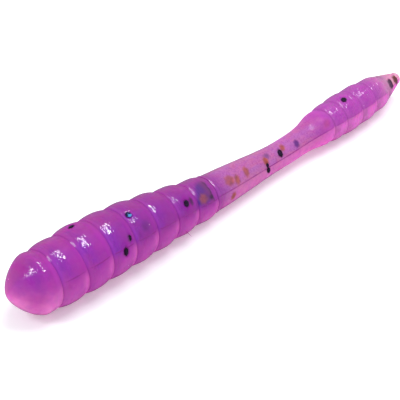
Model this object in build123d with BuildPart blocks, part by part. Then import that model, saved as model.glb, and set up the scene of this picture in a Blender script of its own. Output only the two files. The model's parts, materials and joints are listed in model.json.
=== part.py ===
from build123d import *
from collections import namedtuple
from math import cos, radians, sin, sqrt
import os

# A ribbed soft plastic worm, 70 mm long, lying on a surface.
# Frame: X runs from the nose (-X) to the tail tip (+X), Z is up, and the surface is Z = 0.
# The casting bends, so it is built as a chain of links. Each link ends in a ball about its
# own bend centre, and the link behind it has a dish that rides on that ball.
# Coloured flakes lie in the plastic, each in a pocket of its own size.

# ---- driving dimensions, millimetres ----
LENGTH = 70.0
NOSE_TO_FIRST_GROOVE = 4.53
RING_PITCH = 3.56
HEAD_RADIUS = 3.66
HEAD_GROOVE_RADIUS = 3.50
RING_RADII = (3.89, 3.99, 3.92, 3.77, 3.48, 3.17, 2.82)
RING_GROOVE_RADII = (3.66, 3.70, 3.58, 3.34, 3.01, 2.71, 2.46)
RING_BOW = 3                   # above 2, a ring rises faster behind its groove than an arc would
NOSE_HANDLE = 1.45             # height of the curve's handle at the nose: smaller is more pointed
SHOULDER_HANDLE = 0.90         # length of the handle that levels the head's curve out
NOSE_SIDE = 0.60               # the head is bent a little to +Y
NOSE_HEIGHT = 4.25             # and a little upwards

WAIST_RADIUS = 1.77
WAIST_FROM_NOSE = 43.4         # the waist is also the neck's bend centre
WAIST_DISH_ANGLE = 45.0        # half angle of the dish that rides on the waist's ball
WAIST_LIP = 0.15               # how far the neck's rear half slopes back outside that dish
NECK_FLARE = 6                 # how late the neck opens out towards the tail

# Each row is a radius, the radius of the groove behind it, and that groove's distance from the nose.
NECK_END = (2.42, 2.32, 52.05)
TAIL_RINGS = ((2.64, 2.52, 54.55), (2.78, 2.60, 57.95), (2.70, 2.46, 61.45), (2.44, 2.12, 64.8))
TIP_RADIUS = 0.95
TIP_TAPER = 0.92               # below 1, the tip's sides are slightly full
OUTLINE_POINTS = 7             # points along the smooth outline of a link

GAP = 0.05                     # running clearance between a ball and its dish
CONTACT_FLAT = 0.06            # depth of the flat that the plastic's weight presses on the surface
HEAD_LIFT = 0.25               # the head is smaller than the rings and hangs clear of the surface
WAIST_HEIGHT = 2.33            # the neck sags a little between the rings and the tail
TAIL_HEIGHT = 2.72
TIP_HEIGHT = 2.80              # the tip points slightly up
BEND_START_FROM_NOSE = 26.45   # behind this, the worm lies on a slight curve to +Y
BEND_RATE = 0.00085            # offset to +Y, per square millimetre behind that point

FLAKE_THICKNESS = 0.08
FLAKE_CORNER_SHARE = 0.5       # where a flake's side corners lie along its half length
POCKET_REACH = 0.6             # a pocket at the surface is cut this far outwards

OUT = "parts"

Link = namedtuple("Link", "name radius groove_radius centre")
Flake = namedtuple("Flake", "name host from_nose turn depth length width spin")

# A flake's place is its distance from the nose and its turn about the worm's axis, in degrees
# from the top towards -Y. Its depth is under the skin, and its spin is about its own normal.
FLAKES = (
    Flake("black_flake_1", "body_ring_2", 10.0, -18, 0.03, 0.80, 0.48, 10),
    Flake("black_flake_2", "body_ring_3", 13.5, 75, 0.03, 1.00, 0.52, 80),
    Flake("black_flake_3", "body_ring_3", 14.6, 57, 0.05, 0.70, 0.42, 75),
    Flake("black_flake_4", "body_ring_6", 24.15, 45, 0.03, 0.86, 0.60, 70),
    Flake("black_flake_5", "body_ring_6", 24.95, 45, 0.20, 0.70, 0.36, 80),
    Flake("black_flake_6", "body_ring_7", 28.25, 56, 0.20, 0.42, 0.32, 20),
    Flake("black_flake_7", "neck_front", 39.25, 61, 0.04, 0.52, 0.36, 75),
    Flake("black_flake_8", "neck_front", 39.25, 82, 0.04, 0.86, 0.52, 100),
    Flake("black_flake_9", "neck_front", 42.15, 43, 0.03, 1.08, 0.62, 80),
    Flake("black_flake_10", "tail_ring_2", 56.05, 12, 0.03, 0.94, 0.66, 25),
    Flake("black_flake_11", "tail_tip", 66.25, 52, 0.20, 1.20, 0.84, 80),
    Flake("black_flake_12", "body_ring_1", 6.85, -112, 0.05, 0.84, 0.52, 35),
    Flake("black_flake_13", "body_ring_5", 20.6, -84, 0.04, 0.90, 0.56, 65),
    Flake("black_flake_14", "neck_front", 34.75, -70, 0.05, 0.86, 0.54, 15),
    Flake("black_flake_15", "tail_ring_3", 59.85, -96, 0.04, 0.86, 0.58, 70),
    Flake("blue_flake_1", "body_ring_4", 16.1, 18, 0.02, 0.76, 0.70, 20),
    Flake("blue_flake_2", "body_ring_7", 27.55, -128, 0.06, 0.74, 0.66, 50),
    Flake("violet_flake_1", "body_ring_4", 17.2, 50, 0.80, 1.00, 0.80, 45),
    Flake("violet_flake_2", "neck_front", 39.85, 26, 0.60, 0.80, 0.56, 30),
    Flake("violet_flake_3", "neck_rear", 45.4, 45, 0.22, 0.90, 0.58, 75),
    Flake("violet_flake_4", "body_ring_2", 10.4, -70, 0.70, 0.90, 0.70, 60),
    Flake("copper_flake_1", "body_ring_7", 27.05, 52, 0.55, 0.90, 0.72, 40),
    Flake("copper_flake_2", "neck_front", 32.25, 42, 0.40, 1.10, 0.86, 10),
    Flake("copper_flake_3", "neck_front", 33.45, 51, 0.25, 0.92, 0.50, 78),
    Flake("copper_flake_4", "neck_front", 35.4, 42, 0.25, 0.96, 0.56, 75),
    Flake("copper_flake_5", "neck_front", 32.2, 93, 0.15, 0.80, 0.52, 55),
    Flake("copper_flake_6", "neck_front", 39.25, 43, 0.15, 0.86, 0.56, 75),
    Flake("copper_flake_7", "neck_front", 42.95, 26, 0.22, 0.70, 0.44, 60),
    Flake("copper_flake_8", "neck_rear", 51.1, 45, 0.40, 0.86, 0.62, 30),
    Flake("copper_flake_9", "tail_tip", 68.1, 52, 0.20, 1.05, 0.90, 70),
    Flake("copper_flake_10", "neck_front", 37.1, -118, 0.20, 0.84, 0.52, 70),
    Flake("copper_flake_11", "neck_rear", 48.5, -60, 0.25, 0.80, 0.50, 20),
    Flake("copper_flake_12", "body_ring_6", 23.75, -52, 0.45, 0.90, 0.64, 35),
)


# ---- the line of bend centres ----
def place(from_nose, height):
    """The point of the worm's centre line at a distance from the nose."""
    behind = max(0.0, from_nose - BEND_START_FROM_NOSE)
    return Vector(from_nose - LENGTH / 2, BEND_RATE * behind**2, height)


def make_link(name, radius, groove_radius, groove_from_nose, height):
    """A link whose ball of the given radius meets its groove at the groove's radius."""
    ahead = sqrt(radius**2 - groove_radius**2)
    return Link(name, radius, groove_radius, place(groove_from_nose - ahead, height))


def chain():
    """Every link that ends in a ball, nose first."""
    head_height = HEAD_RADIUS + HEAD_LIFT
    links = [make_link("head", HEAD_RADIUS, HEAD_GROOVE_RADIUS, NOSE_TO_FIRST_GROOVE, head_height)]
    for index, (radius, groove_radius) in enumerate(zip(RING_RADII, RING_GROOVE_RADII), start=1):
        groove = NOSE_TO_FIRST_GROOVE + index * RING_PITCH
        links.append(make_link(f"body_ring_{index}", radius, groove_radius, groove, radius - CONTACT_FLAT))
    dish_radius = (WAIST_RADIUS + GAP) * sin(radians(WAIST_DISH_ANGLE))
    links.append(Link("neck_front", WAIST_RADIUS, dish_radius, place(WAIST_FROM_NOSE, WAIST_HEIGHT)))
    links.append(make_link("neck_rear", *NECK_END, TAIL_HEIGHT))
    for index, row in enumerate(TAIL_RINGS, start=1):
        links.append(make_link(f"tail_ring_{index}", *row, TAIL_HEIGHT))
    return links


BALLED = chain()
TIP = Link("tail_tip", TIP_RADIUS, 0.0, place(LENGTH - TIP_RADIUS, TIP_HEIGHT))
LINKS = BALLED + [TIP]
NOSE = Vector(-LENGTH / 2, NOSE_SIDE, NOSE_HEIGHT)


# ---- outlines, in a frame with x along the link's axis, 0 at its bend centre, and y the radius ----
def rim_of(front):
    """Where a dish's rim lies behind the bend centre that it rides on, and the rim's radius."""
    return sqrt((front.radius + GAP) ** 2 - front.groove_radius**2), front.groove_radius


def bowed(q, rim_radius, radius):
    """A body or tail ring's flank: it rises fast behind the rim (q = 0) and is level at the ball (q = 1)."""
    return radius + (rim_radius - radius) * (1 - q) ** RING_BOW


def narrowing(q, rim_radius, radius):
    """The neck's front half: a smooth step down to the waist."""
    return rim_radius + (radius - rim_radius) * q * q * (3 - 2 * q)


def flaring(q, rim_radius, radius):
    """The neck's rear half: it opens out late, and is level at its ball."""
    share = (NECK_FLARE + 1) * q**NECK_FLARE - NECK_FLARE * q ** (NECK_FLARE + 1)
    return rim_radius + (radius - rim_radius) * share


def tapering(q, rim_radius, radius):
    """The tail tip's sides."""
    return radius + (rim_radius - radius) * (1 - q) ** TIP_TAPER


FLANKS = {"neck_front": narrowing, "neck_rear": flaring, "tail_tip": tapering}


def flank_start(front, link):
    """Local x and radius where a link's visible flank begins, beside its dish's rim."""
    spacing = (link.centre - front.centre).length
    rim_behind, rim_radius = rim_of(front)
    if front.name == "neck_front":
        return rim_behind + WAIST_LIP - spacing, WAIST_RADIUS
    return rim_behind - spacing, rim_radius


def skin_radius(front, link, x):
    """Radius of a link's skin at a local x."""
    if x >= 0:
        return sqrt(link.radius**2 - x**2)
    start, start_radius = flank_start(front, link)
    flank = FLANKS.get(link.name, bowed)
    return flank(1 - x / start, start_radius, link.radius)


# ---- frames ----
def link_frame(front_point, centre):
    """A plane at a bend centre, with x along the link's axis and y towards its top."""
    along = (centre - front_point).normalized()
    across = along.cross(Vector(0, 0, 1)).normalized()
    return Plane(origin=centre, x_dir=along, z_dir=across)


def flake_frame(front, link, flake):
    """A plane on a flake's outer face, with z along the way out of the plastic."""
    frame = link_frame(front.centre, link.centre)
    x = (flake.from_nose - LENGTH / 2 - link.centre.X) / frame.x_dir.X
    outward = frame.y_dir * cos(radians(flake.turn)) + frame.z_dir * sin(radians(flake.turn))
    face = skin_radius(front, link, x) - flake.depth
    on_axis = link.centre + frame.x_dir * x
    along = frame.x_dir.rotate(Axis((0, 0, 0), outward), flake.spin)
    return Plane(origin=on_axis + outward * face, x_dir=along, z_dir=outward)


# ---- flakes: thin plates with six corners ----
def flake_plate(frame, flake, outwards):
    """A flake's solid, or its pocket when it also reaches outwards."""
    end = flake.length / 2
    corner = end * FLAKE_CORNER_SHARE
    side = flake.width / 2
    corners = [(end, 0), (corner, side), (-corner, side), (-end, 0), (-corner, -side), (corner, -side)]
    with BuildPart() as plate:
        with BuildSketch(frame.offset(-FLAKE_THICKNESS)):
            with BuildLine():
                Polyline(*corners, close=True)
            make_face()
        extrude(amount=FLAKE_THICKNESS + outwards)
    return plate.part


def is_at_surface(flake):
    """A flake that is no deeper than its own thickness lies in an open pocket."""
    return flake.depth <= FLAKE_THICKNESS


def flakes_in(front, link):
    """Every flake of a link, with its frame."""
    return [(flake, flake_frame(front, link, flake)) for flake in FLAKES if flake.host == link.name]


def cut_pockets(front, link):
    """Cut the pockets of a link's flakes out of the part that is being built."""
    for flake, frame in flakes_in(front, link):
        reach = POCKET_REACH if is_at_surface(flake) else 0.0
        add(flake_plate(frame, flake, reach), mode=Mode.SUBTRACT)


# ---- the casting ----
def ball_arc(radius):
    """A quarter circle about the bend centre, from its top to the axis."""
    ThreePointArc((0, radius), (radius * sin(radians(45)), radius * cos(radians(45))), (radius, 0))


def head_part(link):
    """The rounded nose, ending in a ball."""
    frame = link_frame(NOSE, link.centre)
    nose = -(link.centre - NOSE).length
    with BuildPart() as head:
        with BuildSketch(frame):
            with BuildLine():
                Bezier((nose, 0), (nose, NOSE_HANDLE), (-SHOULDER_HANDLE, link.radius), (0, link.radius))
                ball_arc(link.radius)
                Line((link.radius, 0), (nose, 0))
            make_face()
        revolve(axis=Axis(frame.origin, frame.x_dir))
    return head.part


def link_part(front, link):
    """A link with a dish in front, its flank, and a ball or a round tip behind."""
    frame = link_frame(front.centre, link.centre)
    spacing = (link.centre - front.centre).length
    ball = front.radius + GAP
    rim_behind, rim_radius = rim_of(front)
    half_lean = (1 + rim_behind / ball) / 2
    start, start_radius = flank_start(front, link)
    shares = [step / (OUTLINE_POINTS - 1) for step in range(OUTLINE_POINTS)]
    flank = [(start * (1 - q), skin_radius(front, link, start * (1 - q))) for q in shares]
    with BuildPart() as solid:
        with BuildSketch(frame):
            with BuildLine():
                dish_middle = (ball * sqrt(half_lean) - spacing, ball * sqrt(1 - half_lean))
                ThreePointArc((rim_behind - spacing, rim_radius), dish_middle, (ball - spacing, 0))
                Line((ball - spacing, 0), (link.radius, 0))
                ball_arc(link.radius)
                Spline(*flank)
                if front.name == "neck_front":
                    Line((rim_behind - spacing, rim_radius), (start, start_radius))
            make_face()
        revolve(axis=Axis(frame.origin, frame.x_dir))
        if link.centre.Z < link.radius:
            split(bisect_by=Plane.XY, keep=Keep.TOP)
        cut_pockets(front, link)
    return solid.part


# ---- write every piece ----
def write(part, name):
    """Label a finished piece and write it as one STEP file."""
    part.label = name
    export_step(part, f"{OUT}/{name}.step")


os.makedirs(OUT, exist_ok=True)
write(head_part(BALLED[0]), "head")
for front, link in zip(BALLED, LINKS[1:]):
    write(link_part(front, link), link.name)
    for flake, frame in flakes_in(front, link):
        write(flake_plate(frame, flake, 0.0), flake.name)

for link in BALLED:
    print(f"bend centre of {link.name}: {link.centre.X:.3f} {link.centre.Y:.3f} {link.centre.Z:.3f}")
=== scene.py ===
import json
from math import acos, cos, degrees, exp, pi, radians, sin

import bpy
from mathutils import Matrix, Vector, noise

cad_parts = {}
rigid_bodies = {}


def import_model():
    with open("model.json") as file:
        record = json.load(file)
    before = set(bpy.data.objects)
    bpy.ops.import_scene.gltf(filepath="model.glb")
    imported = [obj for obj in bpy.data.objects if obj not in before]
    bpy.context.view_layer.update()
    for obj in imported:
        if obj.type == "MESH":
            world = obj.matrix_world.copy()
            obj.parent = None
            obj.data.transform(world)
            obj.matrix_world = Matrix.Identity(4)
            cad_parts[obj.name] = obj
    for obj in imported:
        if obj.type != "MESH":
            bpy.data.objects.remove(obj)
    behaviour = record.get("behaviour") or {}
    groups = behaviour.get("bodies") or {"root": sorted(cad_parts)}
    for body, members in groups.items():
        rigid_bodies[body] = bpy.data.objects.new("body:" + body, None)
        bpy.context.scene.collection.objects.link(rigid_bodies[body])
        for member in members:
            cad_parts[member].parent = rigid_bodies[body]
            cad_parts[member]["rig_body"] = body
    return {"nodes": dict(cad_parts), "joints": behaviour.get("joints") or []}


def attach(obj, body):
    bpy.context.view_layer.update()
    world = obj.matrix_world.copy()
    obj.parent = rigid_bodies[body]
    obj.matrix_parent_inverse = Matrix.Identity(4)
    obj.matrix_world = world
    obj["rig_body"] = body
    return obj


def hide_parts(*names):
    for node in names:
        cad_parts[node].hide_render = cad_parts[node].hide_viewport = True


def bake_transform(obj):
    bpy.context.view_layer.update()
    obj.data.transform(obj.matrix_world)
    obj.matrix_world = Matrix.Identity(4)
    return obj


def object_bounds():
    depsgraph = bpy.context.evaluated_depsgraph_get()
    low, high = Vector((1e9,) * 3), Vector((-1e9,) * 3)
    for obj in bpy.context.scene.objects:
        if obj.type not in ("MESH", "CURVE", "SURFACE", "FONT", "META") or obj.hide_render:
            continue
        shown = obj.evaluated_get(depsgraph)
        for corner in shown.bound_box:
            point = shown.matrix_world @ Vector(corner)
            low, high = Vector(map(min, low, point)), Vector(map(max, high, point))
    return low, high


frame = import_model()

# A ribbed soft plastic worm: one translucent casting with glitter flakes in it.
# Lengths are metres. The casting is skinned link by link around the frame's bend centres,
# and the slim neck is one skin over both its links.
MM = 0.001
CAD_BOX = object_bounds()
NOSE_X = CAD_BOX[0][0]

# ---- the casting's outline ----
NOSE_HANDLE = 1.45 * MM          # the head's curve leaves the nose with this handle
SHOULDER_HANDLE = 0.90 * MM      # and arrives level at its widest with this one
CROWN_FROM_NOSE = 1.9 * MM       # the part of the nose that faces up and forwards
RING_BOW = 3                     # how fast a ring rises behind its groove
RING_GROOVE = 0.45               # the share of a ring's width that is shaded as its groove
BALL_IN_OPEN = 0.45              # the share of the way down to the next groove that isn't
NECK_FLARE = 6                   # how late the neck opens out towards the tail
NECK_GROOVE = 0.7 * MM
NECK_BEAD = 0.07 * MM            # height of the soft bead round the front of the neck
NECK_BEAD_BEHIND = 0.38 * MM     # how far behind the groove it lies
NECK_BEAD_WIDTH = 0.22 * MM
TIP_RADIUS = 0.95 * MM
TIP_TAPER = 0.92                 # below 1, the tip's sides are slightly full
TIP_GROOVE = 0.8 * MM
RIM_GAP = 0.012 * MM             # between a link's ball and the rim that rides on it
FLOOR_CLEAR = 0.004 * MM

# ---- how closely the skins are drawn ----
ROW_STEP = 0.12 * MM             # spacing of the rings of points along a skin
HEAD_ROWS = 1.6                  # the head has this many times as many rows for its length
HEAD_CROWDING = 1.3              # and they lie closest together at the nose
BALL_ROWS = 32
DISH_ROWS = 10
TIP_END_ROWS = 6
TURN_STEPS = 144                 # even steps round a skin, before the parting lines add theirs
SEAM_STEPS = (-3.0, -1.8, -1.0, -0.5, 0.0, 0.5, 1.0, 1.8, 3.0)
SEAM_CLEAR = 1.2                 # even steps closer to a parting line than this many are left out
SHARP_ANGLE = radians(38)        # edges sharper than this stay sharp

# ---- the cast surface ----
WAVINESS = 0.03 * MM             # soft unevenness
WAVE_LENGTH = 3.0 * MM
FINE_WAVES = 2.7                 # a second, finer wave fits this many times into the first,
FINE_SHARE = 0.5                 # at this share of its height
WAVE_TOP = 0.75                  # the waves hardly rise above the outline, so they run inwards
SEAM_TURNS = (69.0, -111.0)      # the two parting lines, in degrees from the top towards -Y
SEAM_START = NOSE_X + 3.5 * MM   # the parting lines are rubbed off the nose
SEAM_RUN_IN = 3.0 * MM
SEAM_FAINT = NOSE_X + 50.0 * MM  # and lose this share of their strength on the tail
SEAM_RUN_OUT = 5.0 * MM
SEAM_LOSS = 0.6
SEAM_DEPTH = 1.6                 # how far it runs down into a groove, where a bigger number is further
SEAM_HEIGHT = 0.045 * MM
SEAM_HALF_WIDTH = 0.065 * MM
BEND_LIMIT = radians(13.0)       # a rim slides this far over its ball, where the parting line is flat
LEAST_FADE = radians(2.0)        # the parting line goes flat over this much of a ball, or more

# ---- a stray hair of plastic under one ring ----
HAIRY_RING = "body_ring_6"
HAIR_TURN = 114.0                # its root, in degrees from the top towards -Y
HAIR_ROOT = 0.08 * MM            # how deep in the ring it starts
HAIR_BEFORE = 0.50 * MM          # and how far ahead of the ring's bend centre
HAIR_OUT = 0.62 * MM             # it runs this far outwards,
HAIR_BACK = 0.45 * MM            # sweeps this far towards the tail
HAIR_DROP = 0.45 * MM            # and sinks this far
HAIR_RADIUS = 0.05 * MM
HAIR_TAPER = 0.75                # the share of its radius that it loses on the way
HAIR_STEPS = 10
HAIR_SIDES = 6
HAIR_SHADE = 2.0 * MM            # it is coloured as the plastic this far behind a groove is


# ======== The frame's own geometry ========
def smooth(q):
    """A smooth step from 0 to 1, held at both ends."""
    q = min(1.0, max(0.0, q))
    return q * q * (3 - 2 * q)


def points_of(node):
    """A CAD node's points, in the row frame."""
    return [v.co.copy() for v in frame["nodes"][node].data.vertices]


class Link:
    """One length of the casting: its axis, its bend centre and the sizes read from its CAD node."""

    def __init__(self, node, front, centre):
        self.node = node
        self.front = front                    # the point its axis starts from
        self.centre = centre
        self.along = (centre - front).normalized()
        places = [self.local(p) for p in points_of(node)]
        self.start, self.start_radius = min(places)
        self.radius = max(radius for x, radius in places if abs(x) < ROW_STEP)

    def local(self, point):
        """Distance along the axis from the bend centre, and distance from the axis."""
        offset = point - self.centre
        x = offset.dot(self.along)
        return x, (offset - self.along * x).length


def read_links():
    """The fifteen links from nose to tail, from the record's joints and the CAD nodes."""
    joints = {joint["parent"]: joint for joint in frame["joints"]}
    node = next(body for body in joints if body not in {joint["child"] for joint in frame["joints"]})
    front = min(points_of(node), key=lambda p: p.x)
    links = []
    while node in joints:
        centre = Vector(joints[node]["pos_m"])
        links.append(Link(node, front, centre))
        front = centre
        node = joints[node]["child"]
    links.append(Link(node, front, max(points_of(node), key=lambda p: p.x)))
    return links


LINKS = read_links()
BY_NODE = {link.node: link for link in LINKS}


# ======== Rows: rings of points square to the worm's centre line ========
class Row:
    """A ring of points: its centre, its direction, its radius and whether it is outer skin."""

    def __init__(self, centre, along, radius, outer=True, edge=0.0, behind=0.0):
        self.centre = centre
        self.along = along.normalized()
        self.side = Vector((0, 0, 1)).cross(self.along).normalized()
        self.up = self.along.cross(self.side)
        self.radius = radius
        self.outer = outer
        self.edge = edge                      # 0 in the open, 1 at the bottom of a groove
        self.behind = behind                  # how far behind the ring's front rim it is
        self.ridge = 1.0                      # how much of the parting line's height it has

    def outward(self, turn):
        """The direction out of the worm at a turn from the top towards -Y."""
        return self.up * cos(turn) - self.side * sin(turn)


def steps_between(start, end, step):
    """Even places from start to end, about a step apart, with both ends."""
    count = max(2, round(abs(end - start) / step))
    return [start + (end - start) * i / count for i in range(count + 1)]


def rim_angle_of(front_link, link):
    """How far round the ball in front a link's rim rides."""
    reach = (link.centre - front_link.centre).length + link.start
    return acos(reach / (front_link.radius + RIM_GAP))


def dish_rows(front_link, along, rim_angle):
    """The hollow that rides on the ball in front, from its middle to its rim."""
    ball = front_link.radius + RIM_GAP
    rows = []
    for i in range(1, DISH_ROWS + 1):
        angle = rim_angle * i / DISH_ROWS
        centre = front_link.centre + along * ball * cos(angle)
        rows.append(Row(centre, along, ball * sin(angle), outer=False))
    return rows


def ball_rows(link, along, behind):
    """The ball behind a link, from its widest to near its end."""
    groove_angle = groove_angle_behind(link)
    rows = []
    for i in range(1, BALL_ROWS):
        angle = pi / 2 * i / BALL_ROWS
        x = link.radius * sin(angle)
        in_open = angle < groove_angle
        row = Row(link.centre + along * x, along, link.radius * cos(angle), outer=in_open)
        row.edge = smooth((angle - groove_angle * BALL_IN_OPEN) / (groove_angle * (1 - BALL_IN_OPEN)))
        row.behind = behind + x
        row.ridge = 1 - smooth(angle / max(LEAST_FADE, groove_angle - BEND_LIMIT))
        rows.append(row)
    return rows


def groove_angle_behind(link):
    """How far round a link's ball the groove behind it lies."""
    follower = LINKS[LINKS.index(link) + 1]
    return acos(follower.start_radius / link.radius)


def bowed(q, rim_radius, radius):
    """A ring's flank: it rises fast behind the rim (q = 0) and is level at the ball (q = 1)."""
    return radius + (rim_radius - radius) * (1 - q) ** RING_BOW


def ring_rows(front_link, link):
    """A body or tail ring: dish, flank and ball."""
    rows = dish_rows(front_link, link.along, rim_angle_of(front_link, link))
    width = -link.start
    for x in steps_between(link.start, 0.0, ROW_STEP)[1:]:
        behind = x - link.start
        radius = bowed(behind / width, link.start_radius, link.radius)
        edge = 1 - smooth(behind / (RING_GROOVE * width))
        rows.append(Row(link.centre + link.along * x, link.along, radius, edge=edge, behind=behind))
    return rows + ball_rows(link, link.along, width)


def head_rows(link):
    """The nose dome, on the same curve as the CAD head (a, b, c, d), and the ball behind it."""
    reach = (link.centre - link.front).length
    rows = []
    count = round(HEAD_ROWS * reach / ROW_STEP)
    for i in range(1, count + 1):
        t = (i / count) ** HEAD_CROWDING
        a, b, c, d = (1 - t) ** 3, 3 * t * (1 - t) ** 2, 3 * t * t * (1 - t), t**3
        x = -reach * (a + b) - SHOULDER_HANDLE * c
        radius = NOSE_HANDLE * b + link.radius * (c + d)
        row = Row(link.centre + link.along * x, link.along, radius)
        row.behind = abs(reach + x - CROWN_FROM_NOSE)
        rows.append(row)
    return rows + ball_rows(link, link.along, rows[-1].behind)


def tip_rows(front_link, link):
    """The conical tip and its small round end."""
    centre = link.centre - link.along * TIP_RADIUS
    base = link.start + TIP_RADIUS
    rows = dish_rows(front_link, link.along, rim_angle_of(front_link, link))
    for x in steps_between(base, 0.0, ROW_STEP)[1:]:
        radius = TIP_RADIUS + (link.start_radius - TIP_RADIUS) * (x / base) ** TIP_TAPER
        edge = 1 - smooth((x - base) / TIP_GROOVE)
        rows.append(Row(centre + link.along * x, link.along, radius, edge=edge, behind=x - base))
    for i in range(1, TIP_END_ROWS):
        angle = pi / 2 * i / TIP_END_ROWS
        row = Row(centre + link.along * TIP_RADIUS * sin(angle), link.along, TIP_RADIUS * cos(angle))
        row.behind = -base
        rows.append(row)
    return rows


def curve_point(a, b, c, d, t):
    """A point and a direction on the smooth curve through four points, between the middle two."""
    point = b * 2 + (c - a) * t + (a * 2 - b * 5 + c * 4 - d) * t * t + (b * 3 - a - c * 3 + d) * t**3
    direction = (c - a) + (a * 2 - b * 5 + c * 4 - d) * (2 * t) + (b * 3 - a - c * 3 + d) * (3 * t * t)
    return point / 2, direction.normalized()


def curve_through(a, b, c, d):
    """Even points and directions on the smooth curve through four links, between the middle two."""
    step = ROW_STEP / (c.centre - b.centre).length
    places = steps_between(0.0, 1.0, step)[:-1]
    return [curve_point(a.centre, b.centre, c.centre, d.centre, t) for t in places]


def neck_radius(x, start, front, rear):
    """The neck's radius: a bead behind the groove, a slope to the waist, and a late flare."""
    bead = NECK_BEAD * exp(-(((x - start - NECK_BEAD_BEHIND) / NECK_BEAD_WIDTH) ** 2))
    waist = front.radius
    if x < front.centre.x:
        q = (x - start) / (front.centre.x - start)
        return front.start_radius + (waist - front.start_radius) * smooth(q) + bead
    q = (x - front.centre.x) / (rear.centre.x - front.centre.x)
    flare = (NECK_FLARE + 1) * q**NECK_FLARE - NECK_FLARE * q ** (NECK_FLARE + 1)
    return waist + (rear.radius - waist) * flare + bead


def neck_rows():
    """The whole neck in one skin, along a smooth curve through its three bend centres."""
    first = LINKS.index(BY_NODE["neck_front"])
    before, last_ring, front, rear, tail = LINKS[first - 2:first + 3]
    rim_angle = rim_angle_of(last_ring, front)
    stretch = curve_through(before, last_ring, front, rear) + curve_through(last_ring, front, rear, tail)
    neck_start = last_ring.centre.x + (last_ring.radius + RIM_GAP) * cos(rim_angle)
    rows = dish_rows(last_ring, stretch[0][1], rim_angle)
    for point, along in stretch:
        behind = point.x - neck_start
        if behind > 0:
            radius = neck_radius(point.x, neck_start, front, rear)
            edge = 1 - smooth(behind / NECK_GROOVE)
            rows.append(Row(point, along, radius, edge=edge, behind=behind))
    return rows + ball_rows(rear, rows[-1].along, rows[-1].behind)


# ======== Flakes, read from their CAD nodes ========
FLAKE_HALF_THICKNESS = 0.04 * MM
MAGNIFIED = {"black": 1.3, "blue": 1.0, "violet": 1.2, "copper": 1.35}   # how large they look
MAGNIFIED_IN_TIP = 1.3           # and in the thin clear tip,
STRETCHED_IN_TIP = 1.25          # where they are stretched along the worm too


class Flake:
    """A flake's middle, its outward normal, its own axes and its half sizes."""

    def __init__(self, node):
        self.node = node
        self.kind = node.split("_")[0]
        self.body = frame["nodes"][node]["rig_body"]
        self.in_tip = self.body == "tail_tip"
        points = points_of(node)
        self.middle = sum(points, Vector()) / len(points)
        link = BY_NODE[self.body]
        x, self.out = link.local(self.middle)
        self.normal = (self.middle - link.centre - link.along * x).normalized()
        end = max(points, key=lambda p: (p - self.middle).length)
        self.long = (end - self.middle - self.normal * (end - self.middle).dot(self.normal)).normalized()
        self.wide = self.normal.cross(self.long)
        self.half_length = max((p - self.middle).dot(self.long) for p in points)
        self.half_width = max((p - self.middle).dot(self.wide) for p in points)
        self.half_width *= STRETCHED_IN_TIP if self.in_tip else 1.0
        self.enlarged = MAGNIFIED_IN_TIP if self.in_tip else MAGNIFIED[self.kind]

    def reach(self, point, enlarged=1.0):
        """How far a point of the skin is from the flake's six-sided outline, seen along its normal."""
        offset = point - self.middle
        u = abs(offset.dot(self.long)) / self.half_length
        v = abs(offset.dot(self.wide)) / self.half_width
        share = max(v, (2 * u + v) / 2) / enlarged
        return (share - 1) * min(self.half_length, self.half_width)


FLAKES = [Flake(node) for node in frame["nodes"] if "flake" in node]


def flakes_near(row_list):
    """The flakes that can mark a stretch of skin."""
    low = min(row.centre.x for row in row_list) - MM
    high = max(row.centre.x for row in row_list) + MM
    return [flake for flake in FLAKES if low < flake.middle.x < high]


# ======== What marks a skin: parting lines, flakes and a painted shadow ===
NO_MARK = (0.0, 0.0, 0.0, 0.0)   # a mark is a colour and its strength

# ---- flakes at the surface ----
SURFACE_DEPTH = 0.07 * MM        # flakes nearer the skin than this show as solid plates
DIMPLE_DEPTH = 0.10 * MM         # how far the skin dips over such a flake
DIMPLE_START = 0.03 * MM         # the dip's edge lies this far outside the flake's outline
DIMPLE_EDGE = 0.15 * MM
RIM_SHADE = 0.5                  # the skin is dark beside such a flake,
RIM_SHADE_START = 0.02 * MM      # from just inside its outline
RIM_SHADE_WIDTH = 0.16 * MM
MATT = 0.85                      # and its gloss is dull this much,
MATT_REACH = 0.40 * MM           # this far round the flake
MATT_EDGE = 0.15 * MM

# ---- flakes inside the plastic. Places along the worm are from its middle ----
FLAKE_NEAR = 2.2 * MM            # a flake further off than this leaves no mark
FACING_LEAST = 0.3               # nor does one that faces too far away from the skin
SHADE_COLOURS = {
    "black": (0.036, 0.009, 0.048),
    "blue": (0.040, 0.020, 0.200),
    "violet": (0.085, 0.016, 0.200),
    "copper": (0.390, 0.080, 0.022),
}
LEAST_BLUR = 0.10 * MM           # a deep flake's shade has at least this blur,
BLUR_PER_DEPTH = 0.30            # and this share of its depth
BLUR_INSIDE = 0.6                # the share of the blur that lies inside the outline
BLUR_WIDTH = 1.6                 # the width of the soft edge, as a share of the blur
FADE_DEPTH = 0.95 * MM           # the shade fades over this depth,
FADE_DEPTH_IN_TIP = 3 * FADE_DEPTH
CLOUDY_START = 11.0 * MM         # and more so in the cloudy plastic of the tail
CLOUDY_RUN_IN = 4.0 * MM
CLOUDY_END = 29.0 * MM
CLOUDY_RUN_OUT = 2.0 * MM
CLOUDY_LOSS = 0.6
TONE = 0.85                      # a shade's mean tone, and how unevenly it swings
TONE_SWING = 0.6
TONE_GRAIN = 0.55 * MM
END_START = 31.5 * MM            # flakes are darker in the very end of the tip
END_RUN_IN = 1.0 * MM
END_DARKER = 0.75
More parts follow.
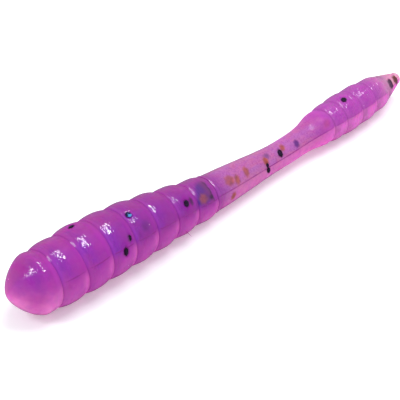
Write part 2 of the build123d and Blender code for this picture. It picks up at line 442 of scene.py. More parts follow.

# ---- the painted shadow where the last body ring steps down to the neck, in mm behind its bend centre and degrees from the top ----
STEP_SHADOW_RING = "body_ring_7"
STEP_SHADOW_BLUE = (0.075, 0.018, 0.210)
STEP_SHADOW_BROWN = (0.150, 0.030, 0.150)
STEP_SHADOW_RIM = (0.060, 0.008, 0.080)
STEP_SHADOW_GRAIN = 0.7 * MM
STEP_SHADOW_START = -1.2
STEP_SHADOW_RUN_IN = 0.9
STEP_SHADOW_EDGE = 0.58                 # its sharp rear edge
STEP_SHADOW_EDGE_SWING = 0.15
STEP_SHADOW_EDGE_WIDTH = 0.16
STEP_SHADOW_RIM_WIDTH = 0.14
STEP_SHADOW_BROWNS = (-0.6, 0.4)        # it turns from blue to brown between these
STEP_SHADOW_TURN = 36.0                 # the middle of the painted shadow
STEP_SHADOW_HALF_TURN = 20.0
STEP_SHADOW_TURN_FADE = 18.0
STEP_SHADOW_SLANT = 0.03                # how much sooner it starts, per degree lower than this turn
STEP_SHADOW_SLANT_TURN = 10.0
STEP_SHADOW_STRENGTH = 0.86
STEP_SHADOW_SWING = 0.30
STEP_SHADOW_RIM_STRENGTH = 0.30
STEP_SHADOW_MOST = 0.95


def seam_share(turn, radius):
    """1 on a parting line, 0 a few hundredths of a millimetre to either side."""
    gaps = [abs((degrees(turn) - seam + 180) % 360 - 180) for seam in SEAM_TURNS]
    return exp(-((radians(min(gaps)) * radius / SEAM_HALF_WIDTH) ** 2))


def seam_at(row, turn, place):
    """How strongly a parting line shows: not in a groove or on the nose, and less on the tail."""
    strength = seam_share(turn, row.radius) * smooth((1 - row.edge) * SEAM_DEPTH)
    strength *= smooth((place.x - SEAM_START) / SEAM_RUN_IN)
    return strength * (1 - SEAM_LOSS * smooth((place.x - SEAM_FAINT) / SEAM_RUN_OUT))


def wave_at(place):
    """The soft unevenness of the cast surface."""
    fine = noise.noise(place * FINE_WAVES / WAVE_LENGTH)
    return WAVINESS * (noise.noise(place / WAVE_LENGTH) + FINE_SHARE * fine - WAVE_TOP)


def blend_of(a, b, share):
    """A colour between two."""
    return [p + (q - p) * share for p, q in zip(a, b)]


def over(mark, step_shadow):
    """A mark laid over the painted shadow: the colour of both, and their strength together."""
    shadow_share = step_shadow[3] * (1 - mark[3])
    strength = mark[3] + shadow_share
    if strength == 0:
        return mark
    return [*blend_of(mark[:3], step_shadow[:3], shadow_share / strength), strength]


def step_shadow_at(place, turn):
    """Painted shadow inside the last body ring, where it steps down to the neck, with its sharp rear
    edge: a colour and its strength.
    """
    x = (place.x - BY_NODE[STEP_SHADOW_RING].centre.x) / MM
    patch = noise.noise(place / STEP_SHADOW_GRAIN)
    from_edge = x - STEP_SHADOW_EDGE - STEP_SHADOW_EDGE_SWING * patch
    around = 1 - smooth((abs(turn - STEP_SHADOW_TURN) - STEP_SHADOW_HALF_TURN) / STEP_SHADOW_TURN_FADE)
    from_start = x - STEP_SHADOW_START + STEP_SHADOW_SLANT * (turn - STEP_SHADOW_SLANT_TURN)
    inside = smooth(from_start / STEP_SHADOW_RUN_IN) * (1 - smooth(from_edge / STEP_SHADOW_EDGE_WIDTH))
    rim = exp(-((from_edge / STEP_SHADOW_RIM_WIDTH) ** 2))
    browned = smooth((x - STEP_SHADOW_BROWNS[0]) / (STEP_SHADOW_BROWNS[1] - STEP_SHADOW_BROWNS[0]))
    colour = blend_of(blend_of(STEP_SHADOW_BLUE, STEP_SHADOW_BROWN, browned), STEP_SHADOW_RIM, rim)
    strength = around * (inside * (STEP_SHADOW_STRENGTH + STEP_SHADOW_SWING * patch) + STEP_SHADOW_RIM_STRENGTH * rim)
    return [*colour, min(STEP_SHADOW_MOST, strength)]


def shade_colour(flake, place):
    """The colour of a flake's shade: uneven, and darker at the worm's very end."""
    tone = TONE + TONE_SWING * noise.noise(place / TONE_GRAIN)
    tone *= 1 - END_DARKER * smooth((place.x - END_START) / END_RUN_IN)
    return [channel * tone for channel in SHADE_COLOURS[flake.kind]]


def deep_shade(flake, place, depth):
    """How strongly a flake inside the plastic shows at a place of the skin."""
    blur = LEAST_BLUR + BLUR_PER_DEPTH * depth
    fade = FADE_DEPTH_IN_TIP if flake.in_tip else FADE_DEPTH
    reach = flake.reach(place, flake.enlarged)
    strength = exp(-depth / fade) * (1 - smooth((reach + BLUR_INSIDE * blur) / (BLUR_WIDTH * blur)))
    cloudy = smooth((place.x - CLOUDY_START) / CLOUDY_RUN_IN)
    cloudy *= 1 - smooth((place.x - CLOUDY_END) / CLOUDY_RUN_OUT)
    return strength * (1 - CLOUDY_LOSS * cloudy)


def flake_marks(row, outward, place, near_flakes):
    """What the flakes do to the skin at a place: the dip, the shade and how dull the gloss is."""
    dip, shade, matt = 0.0, NO_MARK, 0.0
    for flake in near_flakes:
        if (place - flake.middle).length > FLAKE_NEAR or outward.dot(flake.normal) < FACING_LEAST:
            continue
        depth = row.radius - flake.out - FLAKE_HALF_THICKNESS
        if depth < SURFACE_DEPTH:
            reach = flake.reach(place)
            dip += DIMPLE_DEPTH * (1 - smooth((reach - DIMPLE_START) / DIMPLE_EDGE))
            matt = max(matt, MATT * (1 - smooth((reach - MATT_REACH) / MATT_EDGE)))
            strength = RIM_SHADE * (1 - smooth((reach + RIM_SHADE_START) / RIM_SHADE_WIDTH))
        else:
            strength = deep_shade(flake, place, depth)
        if strength > shade[3]:
            shade = [*shade_colour(flake, place), strength]
    return dip, shade, matt


# ======== Skins: rows turned into closed meshes with their own colour data ========
# What a skin stores on its points for its material, and the kind of each. The place at rest and
# the distance behind the groove are in mm.
STORED = {
    "rest": ("FLOAT_VECTOR", "vector"),
    "outward": ("FLOAT_VECTOR", "vector"),
    "seam": ("FLOAT", "value"),
    "matt": ("FLOAT", "value"),
    "groove": ("FLOAT", "value"),
    "behind": ("FLOAT", "value"),
    # the flakes' shades, and the painted shadow in the last body ring
    "marks_and_shadow": ("FLOAT_COLOR", "color"),
}


def turns():
    """The turns of a row's points, closer together beside the parting lines."""
    values = {round(360 * i / TURN_STEPS - 180, 4) for i in range(TURN_STEPS)}
    near = 360 / TURN_STEPS * SEAM_CLEAR
    for seam in SEAM_TURNS:
        values = {v for v in values if abs((v - seam + 180) % 360 - 180) > near}
        values |= {round((seam + step + 180) % 360 - 180, 4) for step in SEAM_STEPS}
    return [radians(v) for v in sorted(values)]


TURNS = turns()


class Skin:
    """The points and faces of a skin, and what its material reads at each point."""

    def __init__(self, rows, front_pole, rear_pole):
        self.points, self.faces = [], []
        self.stored = {name: [] for name in STORED}
        self.add_rows(rows)
        self.add_pole(front_pole, rows, 0)
        self.add_pole(rear_pole, rows, len(rows) - 1)

    def add_point(self, point, outward, behind, seam=0.0, marks_and_shadow=NO_MARK, matt=0.0, groove=0.0):
        self.points.append(point)
        self.stored["rest"].extend(c / MM for c in point)
        self.stored["outward"].extend(outward)
        self.stored["seam"].append(seam)
        self.stored["matt"].append(matt)
        self.stored["groove"].append(groove)
        self.stored["behind"].append(behind / MM)
        self.stored["marks_and_shadow"].extend(marks_and_shadow)

    def add_outer_point(self, row, turn, near_flakes):
        """A point that can be seen: the waves, the parting line and the flakes shape and shade it."""
        outward = row.outward(turn)
        place = row.centre + outward * row.radius
        seam = seam_at(row, turn, place)
        dip, shade, matt = flake_marks(row, outward, place, near_flakes)
        radius = row.radius + wave_at(place) * (1 - row.edge) + SEAM_HEIGHT * seam * row.ridge - dip
        point = above_floor(row.centre + outward * radius)
        # the flakes' shades, laid over the painted shadow where the last body ring steps down to the
        # neck
        marks_and_shadow = over(shade, step_shadow_at(place, degrees(turn)))
        self.add_point(point, outward, row.behind, seam, marks_and_shadow, matt, row.edge)

    def add_rows(self, rows):
        """The rows' points, and the faces between each row and the next."""
        near_flakes = flakes_near(rows)
        count = len(TURNS)
        for row in rows:
            for turn in TURNS:
                if row.outer:
                    self.add_outer_point(row, turn, near_flakes)
                else:
                    outward = row.outward(turn)
                    point = above_floor(row.centre + outward * row.radius)
                    self.add_point(point, outward, row.behind, groove=1.0)
        for first in range(0, (len(rows) - 1) * count, count):
            for i in range(count):
                j = (i + 1) % count
                self.faces.append((first + i, first + j, first + count + j, first + count + i))

    def add_pole(self, pole, rows, index):
        """The point that closes one end, and the faces between it and the last row there."""
        count = len(TURNS)
        self.add_point(pole, (0.0, 0.0, 1.0), rows[index].behind)
        for i in range(count):
            j = (i + 1) % count
            triangle = (len(self.points) - 1, index * count + j, index * count + i)
            self.faces.append(triangle[::-1] if index else triangle)

    def add_hair(self, points, faces):
        """A hair of plastic, in the dark tone of a parting line."""
        self.faces += [tuple(len(self.points) + index for index in face) for face in faces]
        for point in points:
            self.add_point(point, (0.0, 0.0, -1.0), HAIR_SHADE, seam=1.0)

    def make_mesh(self, name):
        mesh = bpy.data.meshes.new(name)
        mesh.from_pydata(self.points, [], self.faces)
        for stored_name, (kind, field) in STORED.items():
            values = mesh.attributes.new(stored_name, kind, "POINT")
            values.data.foreach_set(field, self.stored[stored_name])
        mesh.shade_smooth()
        mesh.set_sharp_from_angle(angle=SHARP_ANGLE)
        mesh.update()
        return mesh


def above_floor(point):
    """A point, raised to just clear of the floor where it would sink in."""
    point.z = max(point.z, FLOOR_CLEAR)
    return point


def stray_hair(link):
    """A short hair of plastic under a ring: the points of a thin closed tube, and its faces."""
    outward = Row(link.centre, link.along, link.radius).outward(radians(HAIR_TURN))
    base = link.centre + outward * (link.radius - HAIR_ROOT) - link.along * HAIR_BEFORE
    side = Vector((0, 0, 1)).cross(outward).normalized()
    sag = Vector((0, 0, HAIR_DROP))
    points = []
    for step in range(HAIR_STEPS + 1):
        t = step / HAIR_STEPS
        centre = base + outward * HAIR_OUT * t + link.along * HAIR_BACK * t * t - sag * t * t
        direction = (outward * HAIR_OUT + link.along * HAIR_BACK * 2 * t - sag * 2 * t).normalized()
        across = direction.cross(side).normalized()
        for i in range(HAIR_SIDES):
            angle = 2 * pi * i / HAIR_SIDES
            round_it = across.cross(direction) * cos(angle) + across * sin(angle)
            points.append(centre + round_it * HAIR_RADIUS * (1 - HAIR_TAPER * t))
    return points, tube_faces(HAIR_STEPS, HAIR_SIDES)


def tube_faces(steps, sides):
    """The faces of a closed tube of points."""
    faces = []
    for first in range(0, steps * sides, sides):
        for i in range(sides):
            j = (i + 1) % sides
            faces.append((first + j, first + i, first + sides + i, first + sides + j))
    faces.append(tuple(range(sides)))
    faces.append(tuple(reversed(range(steps * sides, (steps + 1) * sides))))
    return faces


def dish_bottom(front_link, along):
    """The middle of the hollow that rides on the ball in front."""
    return front_link.centre + along * (front_link.radius + RIM_GAP)


def outline_of(link):
    """The rows of a link's skin, and the points that close its front and its rear."""
    front_link = LINKS[LINKS.index(link) - 1]
    if link is LINKS[0]:
        return head_rows(link), link.front, link.centre + link.along * link.radius
    if link.node == "neck_front":
        rows = neck_rows()
        rear = BY_NODE["neck_rear"]
        return rows, dish_bottom(front_link, rows[0].along), rear.centre + rows[-1].along * rear.radius
    front_pole = dish_bottom(front_link, link.along)
    if link is LINKS[-1]:
        return tip_rows(front_link, link), front_pole, link.centre
    return ring_rows(front_link, link), front_pole, link.centre + link.along * link.radius


def add_object(name, data):
    """A new object in the scene."""
    thing = bpy.data.objects.new(name, data)
    bpy.context.scene.collection.objects.link(thing)
    return thing


def make_casting(material):
    """Every skin of the casting, each but the neck's riding on its link. The neck's two links share one
    skin.
    """
    for link in LINKS:
        if link.node == "neck_rear":
            continue
        in_neck = link.node == "neck_front"
        name = "neck_skin" if in_neck else f"{link.node}_skin"
        skin = Skin(*outline_of(link))
        if link.node == HAIRY_RING:
            skin.add_hair(*stray_hair(link))
        piece = add_object(name, skin.make_mesh(name))
        piece.data.materials.append(material)
        if in_neck:
            bend_over_waist(piece)
            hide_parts("neck_front", "neck_rear")
        else:
            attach(piece, link.node)
            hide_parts(link.node)


def bend_over_waist(piece):
    """Bake a piece of the neck's place into its points. It is not made to turn over the waist's joint.
    """
    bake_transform(piece)


# ======== Materials ========
class Nodes:
    """A short way to add and join nodes in one material."""

    def __init__(self, name):
        self.material = bpy.data.materials.new(name)
        self.material.use_nodes = True
        self.tree = self.material.node_tree
        self.shader = self.tree.nodes["Principled BSDF"]

    def add(self, kind, **settings):
        node = self.tree.nodes.new(kind)
        for key, value in settings.items():
            setattr(node, key, value)
        return node

    def join(self, source, target):
        self.tree.links.new(source, target)

    def put(self, socket, value):
        """Join a socket to an output, or set it to a plain value."""
        if isinstance(value, bpy.types.NodeSocket):
            self.join(value, socket)
        else:
            socket.default_value = value

    def fill(self, node, **values):
        """Join or set some of a node's inputs. A _ stands for a space in an input's name."""
        for name, value in values.items():
            self.put(node.inputs[name.replace("_", " ")], value)

    def stored(self, name, output="Fac"):
        return self.add("ShaderNodeAttribute", attribute_name=name).outputs[output]

    def noise(self, place, scale, detail=2.0, roughness=0.5, distortion=0.0, output="Fac"):
        node = self.add("ShaderNodeTexNoise")
        self.fill(node, Vector=place, Scale=scale, Detail=detail, Roughness=roughness)
        self.fill(node, Distortion=distortion)
        return node.outputs[output]

    def cells(self, place, scale, feature):
        """The distance to a cell's middle (F1), or to its edge."""
        node = self.add("ShaderNodeTexVoronoi", feature=feature)
        self.fill(node, Vector=place, Scale=scale)
        return node.outputs["Distance"]

    def math(self, operation, first, *others):
        """Apply an operation to some values in turn."""
        for value in others:
            node = self.add("ShaderNodeMath", operation=operation)
            self.put(node.inputs[0], first)
            self.put(node.inputs[1], value)
            first = node.outputs[0]
        return first

    def times(self, *values):
        return self.math("MULTIPLY", *values)

    def plus(self, *values):
        return self.math("ADD", *values)

    def most(self, *values):
        return self.math("MAXIMUM", *values)

    def less(self, *values):
        """The first value less all the others."""
        return self.math("SUBTRACT", *values)

    def spread(self, value, low, high, to_low=0.0, to_high=1.0):
        """Map a range smoothly onto another."""
        node = self.add("ShaderNodeMapRange", interpolation_type="SMOOTHSTEP")
        self.fill(node, Value=value, From_Min=low, From_Max=high, To_Min=to_low, To_Max=to_high)
        return node.outputs["Result"]

    def fade(self, value, low, high, start=1.0, end=0.0):
        """Map a range smoothly onto a falling one."""
        return self.spread(value, low, high, to_low=start, to_high=end)

    def vectors(self, operation, a, b, output="Vector"):
        node = self.add("ShaderNodeVectorMath", operation=operation)
        self.put(node.inputs[0], a)
        self.put(node.inputs[1], b)
        return node.outputs[output]

    def mix(self, factor, a, b):
        node = self.add("ShaderNodeMix", data_type="RGBA")
        self.fill(node, Factor=factor)
        for socket, value in ((node.inputs[6], a), (node.inputs[7], b)):
            self.put(socket, value if isinstance(value, bpy.types.NodeSocket) else (*value, 1.0))
        return node.outputs[2]


# ---- the casting's colours ----
MAGENTA = (0.380, 0.030, 0.330)   # the open sides of the first rings
DEEP_MAGENTA = (0.270, 0.020, 0.260)
VIOLET_SHEEN = (0.230, 0.018, 0.400)    # painted sheen round the lamps' glints, on the front of each ring where it faces up
TOP = (0.300, 0.034, 0.225)       # along the top of the rings
LOWER = (0.460, 0.062, 0.395)     # under the parting line
BELLY_GLOW = (0.860, 0.150, 0.560)     # painted glow of floor light, where it is nearly on the floor
NOSE_GLOW = (1.000, 0.300, 0.640)  # light comes through the thin underside of the nose
NECK_DUSTY = (0.520, 0.150, 0.330)
NECK_LAVENDER = (0.440, 0.150, 0.430)
NECK_DUST = (0.250, 0.045, 0.230)
UNDER_NECK = (0.640, 0.185, 0.440)
TAIL = (0.420, 0.062, 0.400)
# painted glow of floor light through the tail's underside
UNDER_TAIL_GLOW = (0.880, 0.170, 0.660)
TIP = (0.660, 0.300, 0.420)
# painted shade behind each groove on the lower side
GROOVE_SHADE = (0.330, 0.016, 0.290)
LIT_GROOVE = (0.560, 0.110, 0.520)
MOTTLE = (0.200, 0.020, 0.360)
# pale specks painted as the glints of tiny bubbles
BUBBLE_GLINT = (0.850, 0.400, 0.760)
SEAM = (0.230, 0.008, 0.190)

# ---- turns, in degrees from the top towards -Y ----
TOP_TURN = -10.0
BRIGHT_TURN = 38.0                # the side that faces the lamps, where violet sheen is painted
LOWER_TURN = 159.0                # square to the parting lines, towards the floor

# ---- where the looks change along the worm, in mm from its middle ----
NOSE_GLOW_FADES = (-35.0, -27.5)
NOSE_TURNS_VIOLET = (-33.5, -28.0)
HEAD_ENDS = (-31.2, -30.6)
RINGS_DEEPEN = (-26.0, -19.0)
VIOLET_FADES = (-22.0, -10.0)
LAST_RING_ENDS = (-7.5, -6.5)
THICK_PART_ENDS = (-7.0, -3.0)
NECK_STARTS = (-6.5, -2.0)
NECK_UNDERSIDE_STARTS = (-6.0, 0.0)
FLARE_STARTS = (6.0, 9.0)
TAIL_COLOUR_STARTS = (11.0, 18.0)
TAIL_UNDERSIDE_STARTS = (14.0, 19.0)
TAIL_WRINKLES_START = (16.0, 18.0)
TAIL_RINGS_START = (17.0, 17.4)
TIP_CLEARS = (26.5, 32.0)
TIP_END_DULLS = (30.5, 31.5)

# ---- patterns, per mm ----
TOOL_MARK_SCALE = 0.87            # marks of the mould's cutter, 0.36 mm apart
BUBBLE_SCALE = 0.55
CREASE_SCALE = 1.1
PATCH_SCALE = 2.6                 # patches of tone on a flake, about 0.4 mm across

RELIEF_HEIGHT = 0.10 * MM
LIGHT_REACH = 3.0 * MM            # how far light wanders through the plastic


def turn_direction(turn):
    """The way out of a level worm at a turn in degrees, as a plain direction."""
    return (0.0, -sin(radians(turn)), cos(radians(turn)))


class Plastisol(Nodes):
    """The casting's nodes, with the places and patterns that its colour and its relief both read."""

    def __init__(self):
        super().__init__("plastisol")
        self.rest = self.stored("rest", "Vector")
        split = self.add("ShaderNodeSeparateXYZ")
        self.join(self.rest, split.inputs[0])
        self.x, self.z = split.outputs["X"], split.outputs["Z"]
        self.outward = self.stored("outward", "Vector")
        self.behind = self.stored("behind")
        self.groove = self.stored("groove")
        self.cloud = self.noise(self.rest, 0.35, detail=3.0, roughness=0.6, distortion=0.4)
        self.mottle = self.noise(self.rest, 1.3)
        self.wobble = self.spread(self.cloud, 0.3, 0.7, to_low=-0.25, to_high=0.25)
        self.thick = self.fade(self.x, *THICK_PART_ENDS, end=0.25)
        self.under = self.facing(LOWER_TURN)

    def facing(self, turn):
        """How squarely a place faces a turn: 1 is straight at it."""
        return self.vectors("DOT_PRODUCT", self.outward, turn_direction(turn), "Value")


def neck_colour(n):
    """Dusty pink and lavender in long streaks, with a fine dark dust."""
    streaks = n.vectors("MULTIPLY", n.rest, (0.45, 1.0, 1.0))
    patches = n.noise(streaks, 0.9, detail=3.0, roughness=0.65, distortion=0.5)
    colour = n.mix(n.spread(patches, 0.36, 0.64), NECK_DUSTY, NECK_LAVENDER)
    dust = n.noise(n.rest, 4.5, roughness=0.7)
    return n.mix(n.spread(dust, 0.40, 0.70, to_high=0.45), colour, NECK_DUST)


def upper_colour(n):
    """The upper side: by place along the worm, a painted violet sheen in front of each ring where it
    faces the lamps, and a duller top.
    """
    colour = n.mix(n.spread(n.x, *RINGS_DEEPEN), MAGENTA, DEEP_MAGENTA)
    colour = n.mix(n.spread(n.x, *NECK_STARTS), colour, neck_colour(n))
    colour = n.mix(n.spread(n.x, *TAIL_COLOUR_STARTS), colour, TAIL)
    colour = n.mix(n.spread(n.x, *TIP_CLEARS), colour, TIP)
    in_front = n.fade(n.behind, 0.3, 2.4, end=0.25)
    # painted sheen: violet where the front of a ring faces the lamps
    bright = n.spread(n.plus(n.facing(BRIGHT_TURN), n.wobble), 0.50, 1.0)
    from_nose = n.spread(n.x, *NOSE_TURNS_VIOLET, to_low=0.45, to_high=0.90)
    to_neck = n.fade(n.x, *VIOLET_FADES, end=0.45)
    colour = n.mix(n.times(in_front, bright, n.thick, from_nose, to_neck), colour, VIOLET_SHEEN)
    top = n.spread(n.facing(TOP_TURN), 0.78, 0.98, to_high=0.5)
    return n.mix(n.times(top, n.thick), colour, TOP)


def add_lower_side(n, colour):
    """The paler side under the parting line, and painted glow of the light that comes through from the
    floor.
    """
    ringed = n.times(n.spread(n.under, -0.10, 0.40, to_high=0.9), n.thick)
    colour = n.mix(ringed, colour, LOWER)
    slim = n.times(n.spread(n.under, -0.02, 0.08, to_high=0.5), n.spread(n.x, *NECK_UNDERSIDE_STARTS))
    colour = n.mix(slim, colour, UNDER_NECK)
    # painted glow under the tail, in uneven patches
    glow_patches = n.spread(n.plus(n.mottle, n.spread(n.behind, 0.6, 2.0, to_high=0.3)), 0.35, 0.75)
    on_tail = n.spread(n.x, *TAIL_UNDERSIDE_STARTS)
    tail_glow = n.times(n.spread(n.under, -0.10, 0.25, to_high=0.75), on_tail, glow_patches)
    colour = n.mix(tail_glow, colour, UNDER_TAIL_GLOW)
    # painted glow of floor light, brighter the nearer the floor
    low = n.spread(n.plus(n.z, n.wobble), 3.0, 0.2)
    colour = n.mix(n.times(low, 0.85), colour, BELLY_GLOW)
    nose_glow = n.times(n.fade(n.x, *NOSE_GLOW_FADES), n.spread(n.z, 6.6, 0.8))
    return n.mix(nose_glow, colour, NOSE_GLOW)


def add_groove_shades(n, colour):
    """Painted shade behind each groove on the lower side, painted glow before the next, and painted
    light in its depth.
    """
    lower = n.spread(n.under, -0.1, 0.3)
    shade = n.times(n.fade(n.behind, 0.0, 1.6, start=0.50), lower, n.thick)
    colour = n.mix(shade, colour, GROOVE_SHADE)
    # painted glow on the thin rear of each ring, on the lower side
    rear = n.times(n.spread(n.behind, 2.2, 3.3, to_high=0.35), lower, n.thick)
    colour = n.mix(rear, colour, BELLY_GLOW)
    colour = n.mix(n.spread(n.mottle, 0.35, 0.75, to_high=0.18), colour, MOTTLE)
    upper = n.fade(n.under, -0.3, 0.1, end=0.2)
    lit_groove = n.times(n.spread(n.groove, 0.1, 1.0, to_high=0.12), upper)
    return n.mix(lit_groove, colour, LIT_GROOVE)


def add_marks(n, colour):
    """Pale specks painted as the glints of tiny bubbles, the parting lines, and the shades of the flakes
    with the painted shadow.
    """
    # painted glints: pale specks at the middles of small cells
    bubbles = n.cells(n.rest, BUBBLE_SCALE, "F1")
    colour = n.mix(n.fade(bubbles, 0.030, 0.060, start=0.55), colour, BUBBLE_GLINT)
    seam = n.times(n.stored("seam"), n.spread(n.cloud, 0.3, 0.6, to_low=0.5, to_high=0.95))
    colour = n.mix(seam, colour, SEAM)
    # the flakes' shades and the painted shadow of the last body ring
    return n.mix(n.stored("marks_and_shadow", "Alpha"), colour, n.stored("marks_and_shadow", "Color"))


def dullness(n):
    """Where the gloss is weak: the neck's flare, in the grooves, round flakes and at the tip."""
    flare = n.times(n.spread(n.x, *FLARE_STARTS), n.fade(n.x, *TAIL_RINGS_START))
    in_groove = n.spread(n.times(n.groove, n.spread(n.behind, 1.0, 1.6)), 0.02, 0.35)
    front_edge = n.times(n.fade(n.behind, 0.15, 0.45, start=0.75), n.fade(n.x, *LAST_RING_ENDS))
    tip_end = n.spread(n.x, *TIP_END_DULLS, to_high=0.7)
    return n.most(flare, in_groove, front_edge, n.stored("matt"), tip_end)


def tail_creases(n):
    """1 in the fine creases of the tail, 0 elsewhere."""
    place = n.vectors("ADD", n.rest, n.noise(n.rest, 1.5, output="Color"))
    edges = n.cells(place, CREASE_SCALE, "DISTANCE_TO_EDGE")
    return n.times(n.fade(edges, 0.0, 0.22), n.spread(n.x, *TAIL_RINGS_START))


def tool_marks(n, along):
    """The marks that the mould's cutter left, in patches."""
    marks = n.add("ShaderNodeTexWave", bands_direction="X")
    n.fill(marks, Vector=along, Scale=TOOL_MARK_SCALE, Distortion=4.0, Detail=2.0, Detail_Scale=1.6)
    patch = n.spread(n.noise(n.rest, 1.1, detail=0.0), 0.38, 0.62, to_low=0.25)
    return n.times(marks.outputs["Fac"], patch)


def surface_relief(n):
    """Cutter marks and wrinkles behind each groove, a speckled nose, creases and grain, as a bump."""
    along = n.vectors("MULTIPLY", n.rest, (1.0, 0.28, 0.28))
    wrinkle = n.noise(along, 1.7, detail=1.0, roughness=0.4, distortion=1.2)
    near_rim = n.times(n.fade(n.behind, 0.9, 2.2, end=0.12), n.spread(n.x, *HEAD_ENDS, to_low=0.4))
    wrinkled = n.most(near_rim, n.spread(n.x, *TAIL_WRINKLES_START, to_high=1.5))
    wrinkles = n.times(n.plus(n.times(wrinkle, 0.45), n.times(tool_marks(n, along), 0.16)), wrinkled)
    rough_patch = n.times(n.fade(n.x, *HEAD_ENDS), n.spread(n.facing(BRIGHT_TURN), 0.55, 0.90))
    speckle = n.times(n.noise(n.rest, 2.6, detail=1.0, distortion=0.6), rough_patch)
    swell = n.noise(n.rest, 0.8, detail=1.0, roughness=0.4)
    grain = n.noise(n.rest, 9.0, detail=1.0, roughness=0.6)
    relief = n.less(n.plus(wrinkles, n.times(speckle, 0.55)), n.times(tail_creases(n), 0.22))
    relief = n.plus(relief, n.times(grain, 0.008), n.times(swell, 0.35))
    bump = n.add("ShaderNodeBump")
    n.fill(bump, Strength=1.0, Distance=RELIEF_HEIGHT, Height=relief)
    return bump.outputs["Normal"]


def plastisol():
    """Translucent purple plastisol with a wet gloss. Marks near the surface let no light through."""
    n = Plastisol()
    marked = n.most(n.stored("marks_and_shadow", "Alpha"), n.stored("seam"))
    clear = n.less(1.0, n.times(marked, 0.9))
    relief = surface_relief(n)
    n.fill(
        n.shader,
        Base_Color=add_marks(n, add_groove_shades(n, add_lower_side(n, upper_colour(n)))),
        Roughness=n.spread(n.mottle, 0.2, 0.8, to_low=0.30, to_high=0.44),
        Specular_IOR_Level=0.10,
        IOR=1.46,
        Subsurface_Weight=n.times(n.fade(n.groove, 0.0, 0.8, end=0.1), clear),
        Subsurface_Radius=(1.0, 0.30, 0.80),
        Subsurface_Scale=LIGHT_REACH,
        Coat_Weight=n.less(1.0, n.times(dullness(n), 0.93)),
        Coat_Roughness=0.04,
        Coat_IOR=1.58,
        Coat_Normal=relief,
        Sheen_Weight=0.2,
        Sheen_Roughness=0.30,
        Sheen_Tint=(0.42, 0.01, 0.34, 1.0),
        Normal=relief,
    )
    return n.material


# Each flake colour's dark and bright tone, metallic, roughness and gloss.
FLAKE_LOOKS = {
    "black": ((0.008, 0.002, 0.016), (0.024, 0.006, 0.044), 0.0, 0.45, 0.0),
    "blue": ((0.004, 0.007, 0.040), (0.070, 0.220, 0.460), 0.6, 0.30, 0.2),
    "violet": ((0.025, 0.008, 0.090), (0.070, 0.020, 0.190), 0.2, 0.35, 0.1),
    "copper": ((0.090, 0.022, 0.010), (0.330, 0.095, 0.035), 0.4, 0.30, 0.1),
}


def flake_material(name, bends, dark, bright, metallic, roughness, gloss):
    """A flake: two tones in small patches, under a clear film."""
    n = Nodes(name)
    if bends:
        place, scale = n.stored("rest", "Vector"), PATCH_SCALE
    else:
        place, scale = n.add("ShaderNodeTexCoord").outputs["Object"], PATCH_SCALE / MM
    patches = n.noise(place, scale, detail=1.0)
    n.fill(
        n.shader,
        Base_Color=n.mix(n.spread(patches, 0.44, 0.60), dark, bright),
        Roughness=n.spread(patches, 0.3, 0.7, to_low=roughness, to_high=roughness + 0.15),
        Metallic=metallic,
        Specular_IOR_Level=0.2,
        Coat_Weight=gloss,
        Coat_Roughness=0.08,
    )
    return n.material


def dress_flakes():
    """Give every CAD flake its material, and give those in the neck plates of their own, like its skin.
    """
    plain = {kind: flake_material(f"{kind}_flake", False, *look) for kind, look in FLAKE_LOOKS.items()}
    bending = {
        kind: flake_material(f"{kind}_flake_in_neck", True, *look) for kind, look in FLAKE_LOOKS.items()
    }
    for flake in FLAKES:
        node = frame["nodes"][flake.node]
        if flake.body not in ("neck_front", "neck_rear"):
            node.material_slots[0].material = plain[flake.kind]
            continue
        mesh = node.data.copy()
        mesh.name = f"{flake.node}_plate"
        rest = mesh.attributes.new("rest", "FLOAT_VECTOR", "POINT")
        rest.data.foreach_set("vector", [c / MM for v in mesh.vertices for c in v.co])
        mesh.materials.clear()
        mesh.materials.append(bending[flake.kind])
        piece = add_object(f"{flake.node}_plate", mesh)
        bend_over_waist(piece)
        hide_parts(flake.node)


# ======== Floor, light and camera ========
FLOOR_SIZE = 6.0
FLOOR_COLOUR = (0.87, 0.93, 0.92)
FLOOR_IN_GLOSS = (0.16, 0.16, 0.16)
FLOOR_GLOW = 0.22                # the floor is lit a little from behind, as a light table is
ROOM_COLOUR = (1.0, 0.99, 1.0, 1.0)
ROOM_LIGHT = 0.65
ROOM_IN_GLOSS = 0.30             # what the gloss reflects of the room: dark flags stand round it
LAMP_DISTANCE = 0.6
# Each lamp's direction from the worm's middle, its sides across and along world Y, and its watts.
LAMPS = {
    "strip_front": ((0.16, -0.03, 0.97), 0.03, 0.42, 0.8),
    "strip_rear": ((0.34, -0.05, 0.93), 0.045, 0.42, 1.45),
    "nose_lamp": ((-0.58, 0.16, 0.77), 0.15, 0.13, 0.8),
}
VIEW_AZIMUTH = 44.6              # degrees round from looking along +Y, towards the head
VIEW_ELEVATION = 35.3
VIEW_DISTANCE = 138.9 * MM
VIEW_ANGLE = 19.82
LOOK_AT_FROM_NOSE = 28.25 * MM
LOOK_AT_SIDE = -0.5 * MM
LOOK_AT_HEIGHT = 3.0 * MM
CLIP_START = 5.0 * MM


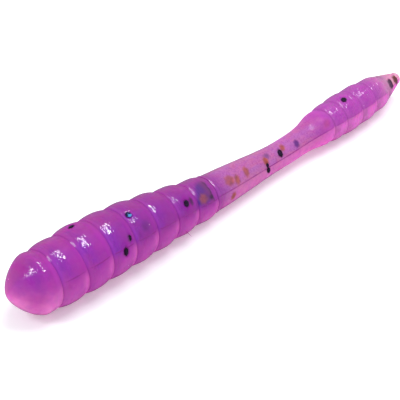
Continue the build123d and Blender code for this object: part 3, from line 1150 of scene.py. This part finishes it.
def make_floor():
    """A plain pale floor that the gloss reflects only dimly."""
    half = FLOOR_SIZE / 2
    mesh = bpy.data.meshes.new("floor")
    corners = [(-half, -half, 0), (half, -half, 0), (half, half, 0), (-half, half, 0)]
    mesh.from_pydata(corners, [], [(0, 1, 2, 3)])
    floor = add_object("floor", mesh)
    n = Nodes("floor")
    glossy = n.add("ShaderNodeLightPath").outputs["Is Glossy Ray"]
    n.fill(
        n.shader,
        Base_Color=n.mix(glossy, FLOOR_COLOUR, FLOOR_IN_GLOSS),
        Roughness=0.9,
        Specular_IOR_Level=0.1,
        Emission_Color=(1.0, 1.0, 1.0, 1.0),
        Emission_Strength=n.fade(glossy, 0.0, 1.0, start=FLOOR_GLOW),
    )
    mesh.materials.append(n.material)


def make_lamp(name, direction, across, along, power):
    """A white rectangular lamp that faces the worm's middle, with its second side along world Y."""
    light = bpy.data.lights.new(name, "AREA")
    light.shape = "RECTANGLE"
    light.size = across
    light.size_y = along
    light.energy = power
    lamp = add_object(name, light)
    toward = Vector(direction).normalized()
    right = Vector((0, 1, 0)).cross(toward).normalized()
    turn = Matrix((right, toward.cross(right), toward)).transposed()
    lamp.matrix_world = Matrix.Translation(toward * LAMP_DISTANCE) @ turn.to_4x4()


def make_lights():
    """A white room that the gloss reflects only dimly, and the lamps that it reflects brightly."""
    world = bpy.data.worlds.new("studio")
    bpy.context.scene.world = world
    world.use_nodes = True
    tree = world.node_tree
    path = tree.nodes.new("ShaderNodeLightPath")
    strength = tree.nodes.new("ShaderNodeMapRange")
    strength.inputs["To Min"].default_value = ROOM_LIGHT
    strength.inputs["To Max"].default_value = ROOM_IN_GLOSS
    tree.links.new(path.outputs["Is Glossy Ray"], strength.inputs["Value"])
    background = tree.nodes["Background"]
    background.inputs["Color"].default_value = ROOM_COLOUR
    tree.links.new(strength.outputs["Result"], background.inputs["Strength"])
    for name, look in LAMPS.items():
        make_lamp(name, *look)
    bpy.context.scene.view_settings.view_transform = "Standard"


def make_camera():
    """The camera: above the head and to one side, looking along the worm."""
    azimuth, elevation = radians(VIEW_AZIMUTH), radians(VIEW_ELEVATION)
    back = Vector((-sin(azimuth) * cos(elevation), -cos(azimuth) * cos(elevation), sin(elevation)))
    target = Vector((NOSE_X + LOOK_AT_FROM_NOSE, LOOK_AT_SIDE, LOOK_AT_HEIGHT))
    data = bpy.data.cameras.new("camera")
    data.angle = radians(VIEW_ANGLE)
    data.clip_start = CLIP_START
    camera = add_object("camera", data)
    camera.location = target + back * VIEW_DISTANCE
    camera.rotation_euler = back.to_track_quat("Z", "Y").to_euler()
    bpy.context.scene.camera = camera


# ======== The scene ========
make_camera()
make_floor()
make_lights()
make_casting(plastisol())
dress_flakes()
